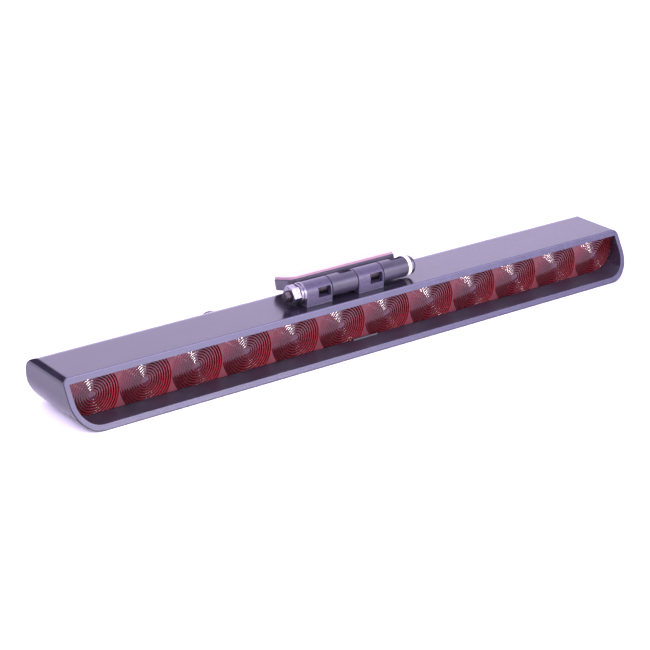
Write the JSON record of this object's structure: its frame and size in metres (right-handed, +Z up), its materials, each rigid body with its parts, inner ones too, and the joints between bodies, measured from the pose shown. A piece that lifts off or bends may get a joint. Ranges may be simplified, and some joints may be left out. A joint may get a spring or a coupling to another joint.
{
  "type": "third brake light",
  "caption": "Long narrow hooded lamp bar with a red lens of ring-cut cells, hung from a friction hinge whose flat leaf carries an adhesive pad for a rear window or shelf.",
  "frame": {"origin": "middle of the overall bounding box, on the plane of the hood's flat bottom", "axes": "+X along the lamp, the light shines towards -Y, +Z up through the hinge"},
  "size_m": [0.3, 0.047, 0.0316],
  "materials": {
    "hood_plastic": "semi-gloss moulded black plastic",
    "lens_plastic": "clear red moulded acrylic",
    "seal_rubber": "matt black rubber",
    "board_laminate": "green solder mask over glass-fibre laminate",
    "led_epoxy": "clear red cast epoxy",
    "resistor_body": "tan lacquer with colour bands",
    "diode_plastic": "moulded black epoxy",
    "terminal_plastic": "moulded off-white nylon",
    "zinc_steel": "bright zinc-plated steel",
    "nylon": "natural white nylon",
    "foam_tape": "pale acrylic foam tape",
    "liner_film": "pink-red waxed release film"
  },
  "bodies": {
    "lamp": {"housing": "hood_plastic", "lens": "lens_plastic", "lens_seal": "seal_rubber", "circuit_board": "board_laminate", "led_01": "led_epoxy", "led_02": "led_epoxy", "led_03": "led_epoxy", "led_04": "led_epoxy", "led_05": "led_epoxy", "led_06": "led_epoxy", "led_07": "led_epoxy", "led_08": "led_epoxy", "led_09": "led_epoxy", "led_10": "led_epoxy", "led_11": "led_epoxy", "led_12": "led_epoxy", "resistor_1": "resistor_body", "resistor_2": "resistor_body", "resistor_3": "resistor_body", "resistor_4": "resistor_body", "polarity_diode": "diode_plastic", "wire_terminal": "terminal_plastic", "board_screws": "zinc_steel", "cable_grommet": "seal_rubber", "hinge_bolt": "zinc_steel", "hex_nut": "zinc_steel", "flat_washer": "zinc_steel", "spring_washer": "zinc_steel", "nylon_washer": "nylon"},
    "mount": {"mount_plate": "hood_plastic", "adhesive_foam": "foam_tape", "tape_liner": "liner_film"}
  },
  "joints": [
    {"name": "mount_hinge", "type": "hinge", "parent": "lamp", "child": "mount", "pos_m": [0, -0.00265, 0.0267], "axis": [1, 0, 0], "range_deg": [-3, 180]}
  ]
}
